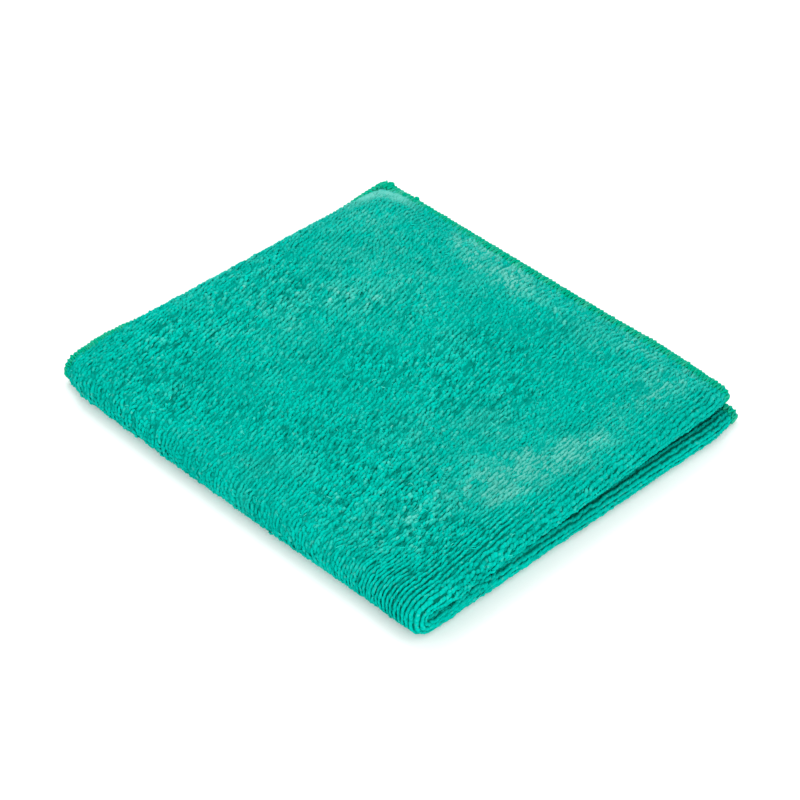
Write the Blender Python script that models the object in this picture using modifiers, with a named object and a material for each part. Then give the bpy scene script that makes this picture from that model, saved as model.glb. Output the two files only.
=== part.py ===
"""A microfibre cloth folded in half and in half again, lying on a surface.

Metres, +Z up. The origin is the middle of the underside. The ribs of the pile run along Y. The first
fold is the pair of rolled edges at +X, the second fold is the single rolled edge at -Y, and the
overlocked edges lie at -X and +Y. The cloth is one sheet: a flat grid, whose points are carried
through the two folds, with Solidify on it.
"""

import math
from collections import namedtuple

import bpy
import bmesh
import numpy as np

# The cut cloth, flat
CLOTH_WIDTH = 0.400     # across the ribs
CLOTH_LENGTH = 0.350    # along the ribs
THICKNESS = 0.0030      # ground and pile, both sides
HEM_THICKNESS = 0.0021  # where the overlock pulls the pile together
HEM_WIDTH = 0.0045
HEM_FADE = 0.0100       # from the hem's thickness to the full one

# The folds
LAYER_GAP = 0.0005
SIDE_ROLL = 0.0027          # mid-sheet radius of the first fold
SIDE_ROLL_PRESSED = 0.0023  # at its ends, where the second fold presses it and the overlock binds it
SIDE_ROLL_FREE = 0.045      # how far from its ends it is free
SIDE_ROLL_FADE = 0.0280
FRONT_ROLL_EXTRA = 0.0005   # how much fuller the second fold is than the stack
FRONT_ROLL_FADE = 0.0140

# The upper two layers lie a little askew on the lower two
UPPER_SKEW = 0.029      # drift to -X for each metre of Y, at the first fold. There is none at the left
UPPER_SKEW_Y = -0.025   # where there is no drift
UPPER_SKEW_FADE = 0.014
CORNER_LIFT = 0.0018    # the upper pair stands off the lower one at the far right corner
CORNER_LIFT_REACH = 0.075

# The overlocked edges, from the bottom layer to the top one: how far they stop short at -X and +Y
Layer = namedtuple("Layer", "left back")
LAYERS = (
    Layer(left=0.0010, back=0.0004),
    Layer(left=0.0016, back=0.0014),
    Layer(left=0.0055, back=0.0010),
    Layer(left=0.0000, back=0.0000),
)
SHORT_AT_FOLD = 0.0014  # round the folds, all stop short alike
SHORT_FADE = 0.026

# The top layer's edge at -X turns down over the others
CURL_REACH = 0.0075
CURL_TURN = math.radians(56)
CURL_TURN_CORNER = math.radians(24)     # at the far left corner
CURL_CORNER_REACH = 0.030
CURL_START = 0.018      # from the second fold
CURL_START_FADE = 0.034

# The overlock draws the folds in where it goes round them
DRAWN_IN = 0.0035
DRAWN_IN_LOWER = 0.0027     # of the lower roll of the first fold
DRAWN_ALONG_EDGE = 0.020
DRAWN_ROUND_FOLD = 0.048

# The second fold runs off square, and more so towards the first fold
FRONT_SLANT = 0.013
FRONT_BEND = 0.15

# All this sets the middle of the outline off by as much
MIDDLE_X = 0.00057
MIDDLE_Y = -0.00013

# Rows of the flat grid from a cut edge to the fold in the middle: how far each band reaches, and its
# rows. The second band takes what the others leave.
Band = namedtuple("Band", "reach rows")
ACROSS_BANDS = (Band(0.0210, 9), Band(None, 7), Band(0.0280, 4), Band(0.0050, 5))
ALONG_BANDS = (Band(0.0155, 6), Band(None, 8), Band(0.0160, 3), Band(0.0095, 7))

# Soft ridges that lift the stack between its ends: place, reach each way, turn and height
Ridge = namedtuple("Ridge", "x y reach_x reach_y turn_deg height")
RIDGES = (
    Ridge(x=0.055, y=-0.045, reach_x=0.030, reach_y=0.050, turn_deg=-20, height=0.0010),
    Ridge(x=-0.020, y=0.030, reach_x=0.055, reach_y=0.028, turn_deg=15, height=0.0009),
    Ridge(x=-0.060, y=-0.030, reach_x=0.035, reach_y=0.030, turn_deg=0, height=0.0006),
)

CLOTH_COLOUR = (0.0, 0.42, 0.33, 1.0)


def smooth(share):
    """0 to 1 with level ends, as share goes from 0 to 1."""
    share = np.clip(share, 0.0, 1.0)
    return share * share * (3.0 - 2.0 * share)


def near(distance, reach):
    """1 at no distance, 0 from the reach on."""
    return 1.0 - smooth(distance / reach)


def clear_scene():
    for item in list(bpy.data.objects):
        bpy.data.objects.remove(item)


def rows(size, bands):
    """Grid lines from edge to edge of the flat cloth."""
    spare = size / 2 - sum(band.reach for band in bands if band.reach)
    lines = []
    start = -size / 2
    for band in bands:
        end = start + (band.reach or spare)
        lines.extend(np.linspace(start, end, band.rows, endpoint=False))
        start = end
    half = np.array(lines)
    return np.concatenate([half, [0.0], -half[::-1]])


def hem_share(inside):
    """1 in the overlocked edge, 0 in the field of the cloth, by the way in from the cut edge."""
    return near(inside - HEM_WIDTH, HEM_FADE)


def inside_edges(across, along):
    """How far points of the flat cloth are inside its cut edges."""
    return CLOTH_WIDTH / 2 - np.abs(across), CLOTH_LENGTH / 2 - np.abs(along)


def of_layer(across, along, name):
    """A value of the table of layers, for points of the flat cloth."""
    bottom, second, third, top = (getattr(layer, name) for layer in LAYERS)
    upper = np.where(across < 0.0, top, third)
    lower = np.where(across < 0.0, bottom, second)
    return np.where(along > 0.0, upper, lower)


def stops_short(across, along, name):
    """How far the edge of the layer that a point is on stops short."""
    along_fold = np.abs(along if name == "left" else across)
    apart = of_layer(across, along, name) - SHORT_AT_FOLD
    return SHORT_AT_FOLD + apart * smooth(along_fold / SHORT_FADE)


def first_fold(across, along):
    """Returns x, the height off the folded pair's middle and the pair's half thickness."""
    from_ends = np.minimum(np.abs(along), CLOTH_LENGTH / 2 - np.abs(along))
    freed = smooth(from_ends / SIDE_ROLL_FREE)
    roll = SIDE_ROLL_PRESSED + (SIDE_ROLL - SIDE_ROLL_PRESSED) * freed
    quarter = math.pi / 2 * roll
    centre = CLOTH_WIDTH / 4 - THICKNESS / 2 - roll
    run = np.abs(across)
    turned = np.minimum(run / roll, math.pi / 2)
    beyond = np.maximum(run - quarter, 0.0)
    resting = (THICKNESS + LAYER_GAP) / 2
    spread = resting + (roll - resting) * near(beyond, SIDE_ROLL_FADE)
    reach = CLOTH_WIDTH / 4 + centre - stops_short(across, along, "left")
    x = centre + roll * np.cos(turned) - beyond * reach / (CLOTH_WIDTH / 2 - quarter)
    height = -np.sign(across) * spread * np.sin(turned)
    return x, height, spread + THICKNESS / 2


def second_fold(across, along, height, half_pair):
    """Returns y and z."""
    roll = half_pair + LAYER_GAP / 2 + FRONT_ROLL_EXTRA
    radius = roll + height
    quarter = math.pi / 2 * radius
    stack = THICKNESS * 2 + LAYER_GAP * 1.5 + FRONT_ROLL_EXTRA
    centre = stack - CLOTH_LENGTH / 4
    run = np.abs(along)
    turned = np.minimum(run / radius, math.pi / 2)
    beyond = np.maximum(run - quarter, 0.0)
    reach = CLOTH_LENGTH / 4 - centre - stops_short(across, along, "back")
    fade = FRONT_ROLL_EXTRA * smooth(beyond / FRONT_ROLL_FADE)
    y = centre - radius * np.cos(turned) + beyond * reach / (CLOTH_LENGTH / 2 - quarter)
    z = half_pair + roll - fade + np.sign(along) * (radius - fade) * np.sin(turned)
    return y, z


def ridge_height(x, y):
    total = np.zeros_like(x)
    for ridge in RIDGES:
        turn = math.radians(ridge.turn_deg)
        right = (x - ridge.x) * math.cos(turn) + (y - ridge.y) * math.sin(turn)
        ahead = (y - ridge.y) * math.cos(turn) - (x - ridge.x) * math.sin(turn)
        total += ridge.height * np.exp(-(right / ridge.reach_x) ** 2 - (ahead / ridge.reach_y) ** 2)
    return total


def settle(across, along, x, y, z):
    """Lets the stack sink where the layers are thin and rise over its ridges. The underside stays level."""
    left_free = smooth(np.abs(along) / SHORT_FADE)
    back_free = smooth(np.abs(across) / SHORT_FADE)
    sunk = z.copy()
    for place, layer in enumerate(LAYERS):
        from_left = x + CLOTH_WIDTH / 4 - SHORT_AT_FOLD - (layer.left - SHORT_AT_FOLD) * left_free
        from_back = CLOTH_LENGTH / 4 - y - SHORT_AT_FOLD - (layer.back - SHORT_AT_FOLD) * back_free
        share = hem_share(np.minimum(from_left, from_back))
        passed = np.clip((z - place * (THICKNESS + LAYER_GAP)) / THICKNESS, 0.0, 1.0)
        sunk -= (THICKNESS - HEM_THICKNESS) * share * passed
    stack = len(LAYERS) * THICKNESS
    return sunk + np.maximum(z - THICKNESS / 2, 0.0) / stack * ridge_height(x, y)


def curl(across, along, x, y, z):
    """Turns the top layer's edge at -X down."""
    inside, _ = inside_edges(across, along)
    at_corner = near(CLOTH_LENGTH / 4 - y, CURL_CORNER_REACH)
    turn = CURL_TURN + (CURL_TURN_CORNER - CURL_TURN) * at_corner
    turn = turn * smooth((along - CURL_START) / CURL_START_FADE) * (across < 0.0)
    past = np.maximum(CURL_REACH - inside, 0.0)
    angle = np.maximum(turn, 1e-4) * past / CURL_REACH
    radius = CURL_REACH / np.maximum(turn, 1e-4)
    return x + past - radius * np.sin(angle), z - radius * (1.0 - np.cos(angle))


def draw_in(across, along, x, y):
    """Rounds off the two corners where a fold ends in an overlocked edge, and sets the second fold askew."""
    inside_left, inside_back = inside_edges(across, along)
    front_end = near(inside_left, DRAWN_ALONG_EDGE) * near(np.abs(along), DRAWN_ROUND_FOLD)
    side_end = near(inside_back, DRAWN_ALONG_EDGE) * near(np.abs(across), DRAWN_ROUND_FOLD)
    off_square = (FRONT_SLANT + FRONT_BEND * x) * x * near(y + CLOTH_LENGTH / 4, CLOTH_LENGTH / 2)
    drawn = DRAWN_IN * front_end - np.where(along > 0.0, DRAWN_IN, DRAWN_IN_LOWER) * side_end
    return x + drawn, y + drawn + off_square


def lay_upper_pair(along, x, y, z):
    """Sets the upper pair askew on the lower one and lifts it at the far right corner."""
    rightward = x / (CLOTH_WIDTH / 2) + 0.5
    skew = UPPER_SKEW * rightward * smooth(along / UPPER_SKEW_FADE)
    away = smooth((y + CLOTH_LENGTH / 4) / (CLOTH_LENGTH / 2))
    right = near(CLOTH_WIDTH / 4 - x, CORNER_LIFT_REACH)
    lift = np.where(along > 0.0, CORNER_LIFT * away * right, 0.0)
    return x - skew * (y - UPPER_SKEW_Y), y, z + lift


def folded(across, along):
    """The place in the folded cloth of points of the flat one."""
    x, height, half_pair = first_fold(across, along)
    y, z = second_fold(across, along, height, half_pair)
    z = settle(across, along, x, y, z)
    x, z = curl(across, along, x, y, z)
    x, y = draw_in(across, along, x, y)
    x, y, z = lay_upper_pair(along, x, y, z)
    return np.stack([x - MIDDLE_X, y - MIDDLE_Y, z], axis=-1)


def cloth_mesh():
    across_rows = rows(CLOTH_WIDTH, ACROSS_BANDS)
    along_rows = rows(CLOTH_LENGTH, ALONG_BANDS)
    grid = bmesh.new()
    bmesh.ops.create_grid(
        grid, x_segments=len(across_rows) - 1, y_segments=len(along_rows) - 1, size=1.0
    )
    mesh = bpy.data.meshes.new("cloth")
    grid.to_mesh(mesh)
    grid.free()
    even = np.array([vertex.co[:2] for vertex in mesh.vertices])
    across = np.interp(even[:, 0], np.linspace(-1, 1, len(across_rows)), across_rows)
    along = np.interp(even[:, 1], np.linspace(-1, 1, len(along_rows)), along_rows)
    mesh.vertices.foreach_set("co", folded(across, along).astype(np.float32).ravel())
    mesh.update()
    return mesh, hem_share(np.minimum(*inside_edges(across, along)))


def cloth_material():
    material = bpy.data.materials.new("microfibre_pile")
    material.use_nodes = True
    shader = material.node_tree.nodes["Principled BSDF"]
    shader.inputs["Base Color"].default_value = CLOTH_COLOUR
    shader.inputs["Roughness"].default_value = 0.9
    shader.inputs["Metallic"].default_value = 0.0
    return material


def make_cloth(collection):
    mesh, hem = cloth_mesh()
    cloth = bpy.data.objects.new("cloth", mesh)
    collection.objects.link(cloth)
    mesh.materials.append(cloth_material())
    field = cloth.vertex_groups.new(name="field")
    for vertex, share in enumerate(hem):
        field.add([vertex], 1.0 - float(share), "REPLACE")
    sheet = cloth.modifiers.new("sheet", "SOLIDIFY")
    sheet.thickness = THICKNESS
    sheet.offset = 0.0
    sheet.use_quality_normals = True
    sheet.vertex_group = field.name
    sheet.thickness_vertex_group = HEM_THICKNESS / THICKNESS
    mesh.shade_smooth()
    return cloth


def main():
    clear_scene()
    collection = bpy.data.collections.new("microfibre_cloth")
    bpy.context.scene.collection.children.link(collection)
    make_cloth(collection)


main()
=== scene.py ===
"""The finish of a folded microfibre cloth: its ground, ribs of looped pile and overlocked edges.

Metres, +Z up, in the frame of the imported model. A place on the flat cloth is given by across (over the
ribs), along (with the ribs) and off (out of the middle of the sheet, with the outer face positive). The
functions of the fold carry it to its place in the folded cloth, so every loop and stitch is laid out on
the flat cloth.
"""

import math
from collections import namedtuple

import bpy
import numpy as np
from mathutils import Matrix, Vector


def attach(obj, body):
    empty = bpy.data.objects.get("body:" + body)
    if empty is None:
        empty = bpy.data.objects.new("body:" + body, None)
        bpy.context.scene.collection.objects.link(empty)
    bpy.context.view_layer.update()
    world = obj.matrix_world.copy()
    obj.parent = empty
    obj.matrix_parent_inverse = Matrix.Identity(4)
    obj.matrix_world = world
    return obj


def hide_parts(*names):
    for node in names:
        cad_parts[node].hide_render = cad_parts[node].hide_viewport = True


# ---------------------------------------------------------------- the folded cloth, as in the solid

CLOTH_WIDTH = 0.400
CLOTH_LENGTH = 0.350
THICKNESS = 0.0030
HEM_THICKNESS = 0.0021
HEM_WIDTH = 0.0045
HEM_FADE = 0.0100

LAYER_GAP = 0.0005
SIDE_ROLL = 0.0027
SIDE_ROLL_PRESSED = 0.0023
SIDE_ROLL_FREE = 0.045
SIDE_ROLL_FADE = 0.0280
FRONT_ROLL_EXTRA = 0.0005
FRONT_ROLL_FADE = 0.0140

UPPER_SKEW = 0.029
UPPER_SKEW_Y = -0.025
UPPER_SKEW_FADE = 0.014
CORNER_LIFT = 0.0018
CORNER_LIFT_REACH = 0.075

Layer = namedtuple("Layer", "left back")
LAYERS = (
    Layer(left=0.0010, back=0.0004),
    Layer(left=0.0016, back=0.0014),
    Layer(left=0.0055, back=0.0010),
    Layer(left=0.0000, back=0.0000),
)
SHORT_AT_FOLD = 0.0014
SHORT_FADE = 0.026

CURL_REACH = 0.0075
CURL_TURN = math.radians(56)
CURL_TURN_CORNER = math.radians(24)
CURL_CORNER_REACH = 0.030
CURL_START = 0.018
CURL_START_FADE = 0.034

DRAWN_IN = 0.0035
DRAWN_IN_LOWER = 0.0027
DRAWN_ALONG_EDGE = 0.020
DRAWN_ROUND_FOLD = 0.048

FRONT_SLANT = 0.013
FRONT_BEND = 0.15

MIDDLE_X = 0.00057
MIDDLE_Y = -0.00013

Ridge = namedtuple("Ridge", "x y reach_x reach_y turn_deg height")
RIDGES = (
    Ridge(x=0.055, y=-0.045, reach_x=0.030, reach_y=0.050, turn_deg=-20, height=0.0010),
    Ridge(x=-0.020, y=0.030, reach_x=0.055, reach_y=0.028, turn_deg=15, height=0.0009),
    Ridge(x=-0.060, y=-0.030, reach_x=0.035, reach_y=0.030, turn_deg=0, height=0.0006),
)

# ---------------------------------------------------------------- the finish

# The ground: the knitted sheet that carries the pile
GROUND_THICKNESS = 0.0012
HEM_GROUND_THICKNESS = 0.0011
MAT_HEIGHT = 0.00032        # of the felted fibres that fill the gaps of dense pile, on the outer face
MAT_ON_NEAT = 0.10          # how much of it there is between neat ribs
MAT_DENSEST = 1.15          # it fills gaps fully where the pile is rough by 1 less than this
MAT_FADE = 0.005            # towards the end of the pile
MAT_OPENED_REACH = 0.012    # none on the side fold, which opens the ribs
MAT_SHADE = 0.65            # painted shade on it: how light it is, from root 0 to body 1
INNER_SHADE = 0.4           # and the bare inner face, also painted shade
Band = namedtuple("Band", "reach rows")
GROUND_ACROSS = (Band(0.0060, 5), Band(0.0150, 7), Band(None, 34), Band(0.0200, 10), Band(0.0080, 12))
GROUND_ALONG = (Band(0.0060, 5), Band(0.0150, 7), Band(None, 26), Band(0.0180, 10), Band(0.0160, 14))

# The ribs of the pile
RIB_PITCH = 0.0018
CLOSER_ON_FOLD = 0.60       # how much closer the ribs are on the side fold itself
CLOSER_REACH = 0.0052
SPREAD_AT_FOLD = 0.42       # how much further apart they are beside it
SPREAD_REACH = 0.014
SPREAD_IN_FIELD = 0.15      # and far from it
SPREAD_FIELD_REACH = 0.045
RIB_LEAN = 0.06             # how far a rib runs aside for each metre along, at the side fold
RIB_LEAN_LEFT = 0.27        # and at the left of the cloth, where it is off the grain
RIB_LEAN_FADE = 0.110
RIB_LEAN_STOP = -0.030      # on the lower half the ribs run straight from here on
LEAN_MARGIN = 0.060         # ribs that start so far outside may lean in

# The pile: arched loops of soft yarn
LOOP_PITCH = 0.00145
LOOP_PITCH_UNDER = 0.0024
Loop = namedtuple("Loop", "span height radius slant_deg segments sides")
MAIN_LOOP = Loop(span=0.00120, height=0.00084, radius=0.00056, slant_deg=14, segments=4, sides=4)
LOW_LOOP = Loop(span=0.00115, height=0.00070, radius=0.00062, slant_deg=20, segments=2, sides=3)
UNDER_LOOP = Loop(span=0.00120, height=0.00084, radius=0.00062, slant_deg=14, segments=3, sides=3)
COARSER_SPAN = 0.6          # loops further apart are longer, by this power of their pitch
LOOP_FLATTER = 0.15         # the yarn is so much wider and lower than round
LOOP_FOOT = 0.00045         # off the middle of the sheet
LOOP_SUNK = 0.00036         # a loop that is thicker than this sinks in by the rest
FOOT_THINNER = 0.25         # how much thinner the yarn is at the foot
LOW_SHARE = 1.25            # of the low loops between the ribs, are made where the pile is tangled
LOW_SHARE_NEAT = 0.60       # and where the ribs are neat, more so where they aren't rough
LOW_LOWER_NEAT = 0.5        # how much lower they are there
PILE_PAST_SIDE_FOLD = 0.011     # how far the outer pile is made past the first fold
TOP_SPLITS = (-0.135, -0.063)   # where the top's pile is cut into pieces
UNDER_FROM_SIDE = 0.030     # the underside's coarser pile starts so far from the folds
UNDER_FROM_FRONT = 0.036
REST_GAP = 0.0001           # between the pile and the surface that it lies on
REST_SOFT = 0.0005          # the pile is squashed from this height above the gap down

# How much single loops differ: the spread of random values
VARY_ALONG = 0.12           # of the pitch
VARY_ACROSS = 0.00011
VARY_ACROSS_TANGLED = 0.00018
VARY_SLANT = 0.08
VARY_SLANT_TANGLED = 0.25
VARY_SPAN = 0.08
VARY_LEAN = 0.0002
VARY_HEIGHT = 0.12
VARY_HEIGHT_TANGLED = 0.18
VARY_THICKNESS = 0.12
VARY_TINT = 0.12
VARY_HAZE = 0.35

# Where the pile ends by the overlocked edges of the top layer
PILE_FROM_LEFT = (0.0024, 0.0008)   # near the second fold and away from it
PILE_LEFT_FADE = (0.032, 0.014)     # from there on, and over this length
PILE_FROM_BACK = (0.0018, 0.0032)   # near the corner of the cut edges and away from it
PILE_BACK_FADE = (0.030, 0.040)
CORNER_BARE = 30e-6         # the bare corner: where the ways in from both edges multiply to less
END_HEIGHT = 0.65           # of the loops at the very end of the pile
END_FADE = 0.003
RIM_WIDTH = 0.0060          # the pile lies flat round the bare corner, pale there with a painted highlight along the bend
RIM_REACH = 0.030
RIM_HIGHLIGHT_TINT = 0.6              # painted highlight: how pale the ground is there
RIM_HIGHLIGHT_TINT_PILE = 0.4         # and the loops, also painted highlight
RIM_THICKNESS = 0.0008

# How neat the ribs are: 1 all in line, 0 tangled
NEAT_AT_SIDE_FOLD = 0.85
NEAT_SIDE_REACH = (0.040, 0.022)    # at the front roll, and from NEAT_SIDE_FADE on
NEAT_SIDE_FADE = 0.110
NEAT_LESS_AT_BACK = 0.25    # how much less neat they are by the side fold, from NEAT_SIDE_FADE on
OPENED_ON_FOLD = 0.65       # the side fold itself opens the ribs up, near the front roll
OPENED_REACH = 0.008
OPENED_END = 0.120          # and further from it less and less
NEAT_AT_FRONT = 0.9
NEAT_FRONT_REACH = 0.040
NEAT_FRONT_FADE = 0.100     # the ribs over the front roll get less neat towards the left
NEAT_FIELD = 0.25
NEAT_UNEVEN = 0.22          # how much it varies from place to place
NEAT_CELL = 0.011
NEAT_STRAIGHTER = 0.85      # how much less neat loops slant
NEAT_SLIMMER = 0.12
NEAT_LONGER = 0.30
NEAT_AHEAD = 0.00012        # how far the crest of a loop leans along its rib

# What tangled loops do
TANGLED_WIDER = 0.10
TANGLED_SHORTER = 0.45      # than neat ones
ROLL_REACH = 0.016          # they lie every way on the front roll
ROLL_SLANT = 0.5
ROLL_SHORTER = 0.25
STRAY_SHARE = 0.05          # of them stand out
STRAY_HEIGHT = 0.6
TUFT_CELL = 0.0028          # they lean together in tufts of this size
TUFT_LEAN = 0.00060
WAVY = 0.2                  # and their height waves
WAVY_CELL = 0.0032
HEIGHT_LIMITS = (0.5, 1.8)
THICKNESS_LIMITS = (0.7, 1.5)
CLUMP_CELL = 0.0024         # they stand up and sink in clumps of this size
CLUMP_SLIMMER = 1.5         # and clumps are so much longer along the ribs
CLUMP_DENSE = 0.4           # how strongly in dense pile
CLUMP_ROUGH = 0.9           # and more so in rough pile
CLUMP_UNEVEN = 0.72
Spots = namedtuple("Spots", "cell wide long seed")
PITS = Spots(cell=0.0031, wide=0.00085, long=0.00170, seed=52)      # where they part
PIT_DEPTH = 0.65
PIT_OPEN = 0.25             # no low loops where a pit is deeper
PIT_ROUGH = 0.7             # how rough the pile is from which pits are whole

# Where the pile is pressed, stretched or shaded: painted shade, painted sheen and painted highlights, and its
# own tone
PRESSED_HEIGHT = 0.72       # of a loop that is pressed flat
PRESSED_WIDER = 0.18
# Painted sheen: how much paler pressed pile is
PRESSED_SHEEN_TINT = 0.10
WIDER_ON_FOLD = 0.30        # how much thicker the loops are where the side fold spreads the ribs
WIDER_REACH = 0.012
CLUMP_PAINTED_SHADE = 0.42          # painted shade on sunk clumps: how dark they are, between body and root
DENSE_SHADE = 0.30          # how much darker dense pile is, which has no gaps
OWN_SHADE = 0.30            # and at most how much a loop is of its own
UNEVEN_SHADE = 0.16         # and at most how much whole areas are
UNEVEN_CELL = 0.014
GAP_PAINTED_SHADE = 0.62            # painted shade: how dark the pile is between the two rolls of the side fold
GAP_START = 0.0004          # from here on past the middle of the fold, and over this length
GAP_FADE = 0.0050
HAZE_SHEEN_TINT = 0.85            # painted sheen: how pale hazed pile is
TANGLED_TINT = -0.12        # and tangled pile
# Painted highlights: small bright flecks on the pile
HIGHLIGHT_SPOTS = Spots(cell=0.0028, wide=0.00040, long=0.00055, seed=57)
HIGHLIGHT_SPOT_TINT = 1.2

# Fine loose loops on top of the pile
LOOSE_COUNT = 900
LOOSE_LESS_NEAT = 1.3       # the neater the pile, the more of them are left out
LOOSE_FROM_END = 0.002
LOOSE_LENGTH = (0.0014, 0.0032)
LOOSE_BEND = 0.0006
LOOSE_RISE = 0.00015
LOOSE_OFF = 0.00112         # off the middle of the sheet
LOOSE_DIP = 0.00045         # its ends go down into the pile
LOOSE_RADIUS = (0.00028, 0.00040)
LOOSE_TINT = 0.15

# Places on top of the folded cloth
Patch = namedtuple("Patch", "x y reach_x reach_y depth turn_deg", defaults=(0,))
PRESSED = (                 # where the pile is pressed flat, and paler with painted sheen
    Patch(x=-0.026, y=0.077, reach_x=0.026, reach_y=0.011, turn_deg=-9, depth=0.95),
    Patch(x=0.0745, y=-0.004, reach_x=0.012, reach_y=0.030, turn_deg=-12, depth=0.82),
    Patch(x=0.076, y=0.065, reach_x=0.010, reach_y=0.030, depth=0.4),
)
HAZED = (                   # where it is paler with painted sheen
    Patch(x=0.045, y=-0.005, reach_x=0.022, reach_y=0.024, depth=0.42),
    Patch(x=0.057, y=-0.055, reach_x=0.012, reach_y=0.022, depth=0.35),
    Patch(x=-0.040, y=0.038, reach_x=0.026, reach_y=0.022, depth=0.46),
    Patch(x=-0.078, y=0.062, reach_x=0.022, reach_y=0.022, depth=0.55),
    Patch(x=-0.060, y=-0.003, reach_x=0.028, reach_y=0.035, depth=0.36),
    Patch(x=0.045, y=0.080, reach_x=0.040, reach_y=0.018, depth=0.75),
    Patch(x=-0.099, y=0.020, reach_x=0.007, reach_y=0.060, depth=0.50),
)
PARTED = (                  # where it is rough and parts
    Patch(x=-0.074, y=-0.015, reach_x=0.016, reach_y=0.042, depth=0.45),
    Patch(x=-0.049, y=-0.066, reach_x=0.018, reach_y=0.016, depth=0.5),
    Patch(x=0.012, y=0.010, reach_x=0.036, reach_y=0.030, depth=0.30),
    Patch(x=0.038, y=-0.050, reach_x=0.038, reach_y=0.024, depth=0.7),
    Patch(x=0.084, y=-0.068, reach_x=0.024, reach_y=0.026, depth=0.8),
)
SMOOTHED = (                # where it is dense and level
    Patch(x=-0.069, y=0.054, reach_x=0.024, reach_y=0.030, depth=0.5),
    Patch(x=-0.026, y=0.078, reach_x=0.032, reach_y=0.014, depth=0.8),
    Patch(x=0.072, y=0.005, reach_x=0.017, reach_y=0.038, turn_deg=-10, depth=0.9),
    Patch(x=0.060, y=0.078, reach_x=0.034, reach_y=0.016, depth=0.4),
    Patch(x=-0.021, y=-0.079, reach_x=0.022, reach_y=0.014, depth=0.6),
)
# Random unevenness of these areas: its share, how wide its cells are, and its seed
Uneven = namedtuple("Uneven", "share cell seed")
PRESSED_UNEVEN = (Uneven(0.6, 0.0060, 31), Uneven(0.9, 0.0023, 32))
HAZED_UNEVEN = (Uneven(0.8, 0.0055, 35), Uneven(0.9, 0.0022, 36))
PARTED_UNEVEN = (Uneven(0.30, 0.013, 33), Uneven(0.20, 0.005, 33))
RIM_UNEVEN = (Uneven(0.4, 0.0020, 46),)
PRESSED_FROM = 0.25         # how strong a patch is where the pile starts to be pressed
PRESSED_FADE = 0.45
HAZED_FIELD = 0.9
PARTED_FIELD = 0.35         # how rough the pile is elsewhere

# The overlock along the cut edges
STITCH_PITCH = 0.0020
NEEDLE_LINE = 0.0042        # from the cut edge
EDGE_OUT = 0.0003           # how far the thread stands out past the cut edge
OVERLOCK_RADIUS = 0.00066
EDGE_BEAD_RADIUS = 0.00048
NEEDLE_THREAD_RADIUS = 0.00020
NEEDLE_THREAD_OFF = 0.0005
NEEDLE_THREAD_RISE = 0.0002
UNDER_PILE = 0.0008         # how much lower the thread lies where pile covers it
Lump = namedtuple("Lump", "run length out off radius knot tint")
LUMPS = (                   # knots and a loose end of thread on the back edge, by the far corner of the top
    Lump(run=-0.1952, length=0.0034, out=0.0003, off=0.0003, radius=0.00110, knot=True, tint=0.0),
    Lump(run=-0.1800, length=0.0022, out=0.0005, off=0.0003, radius=0.00095, knot=True, tint=0.0),
    Lump(run=-0.1996, length=-0.0020, out=0.0024, off=0.0, radius=0.00090, knot=False, tint=0.7),
)

# The yarns' colours and finish: body is the yarn's own colour, root the colour of painted shade deep in the
# pile, pale the colour of painted sheen and highlights and of random pale mottling
Yarn = namedtuple("Yarn", "body root pale")
PILE_YARN = Yarn(body=(0.0, 0.57, 0.462), root=(0.0, 0.19, 0.145), pale=(0.30, 0.605, 0.535))
# The ground is darker than the pile: partly painted shade on the ground seen deep between the loops, partly
# the darker green of the hem band
GROUND_YARN = Yarn(body=(0.0, 0.37, 0.30), root=(0.0, 0.15, 0.11), pale=(0.12, 0.50, 0.43))
OVERLOCK_YARN = Yarn(body=(0.0, 0.43, 0.255), root=(0.0, 0.26, 0.15), pale=(0.12, 0.58, 0.43))
YARN_ROUGHNESS = 0.9
YARN_SHEEN = 0.05
YARN_SHEEN_ROUGHNESS = 0.4
YARN_SHEEN_TINT = (0.05, 1.0, 0.9)
FILAMENT_STRENGTH = 0.10
FILAMENT_DEPTH = 0.0001

# The baked picture of the ground: the outer face at its left, the inner face at its right
FACE_SHARE = 0.48
INNER_FACE_START = 0.52
CUT_EDGE_STRIP = (0.49, 0.51)

# The camera, the floor and the light
VIEW_AZIMUTH = math.radians(46.33)
VIEW_ELEVATION = math.radians(39.38)
VIEW_DISTANCE = 1.0052
VIEW_TARGET = (0.0001, 0.0014, 0.0)
VIEW_LENS = 120.0
FLOOR_REACH = 4.0
FLOOR_WHITE = 0.86
FLOOR_GLOW = 0.14
LAMP_SIZE = 0.8
KEY_PLACE = (-0.9, 0.35, 1.5)
KEY_POWER = 9.0
FILL_PLACE = (1.3, -0.5, 0.45)
FILL_POWER = 5.8
SKY_STRENGTH = 1.15

BODY = "root"
NOISE_CELLS = 64

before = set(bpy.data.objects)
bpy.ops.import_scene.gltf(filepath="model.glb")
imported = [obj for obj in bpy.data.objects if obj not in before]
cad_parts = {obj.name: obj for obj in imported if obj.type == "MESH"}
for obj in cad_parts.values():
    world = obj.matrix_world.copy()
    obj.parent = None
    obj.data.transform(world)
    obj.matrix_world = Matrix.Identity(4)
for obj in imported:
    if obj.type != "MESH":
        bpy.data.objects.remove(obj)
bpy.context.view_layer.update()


# ---------------------------------------------------------------- the fold, as in the solid


def smooth(share):
    """0 to 1 with level ends, as share goes from 0 to 1."""
    share = np.clip(share, 0.0, 1.0)
    return share * share * (3.0 - 2.0 * share)


def near(distance, reach):
    """1 at no distance, 0 from the reach on."""
    return 1.0 - smooth(distance / reach)


def hem_share(inside):
    """1 in the overlocked edge, 0 in the field of the cloth, by the way in from the cut edge."""
    return near(inside - HEM_WIDTH, HEM_FADE)


def inside_edges(across, along):
    """How far points of the flat cloth are inside its cut edges."""
    return CLOTH_WIDTH / 2 - np.abs(across), CLOTH_LENGTH / 2 - np.abs(along)


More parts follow.
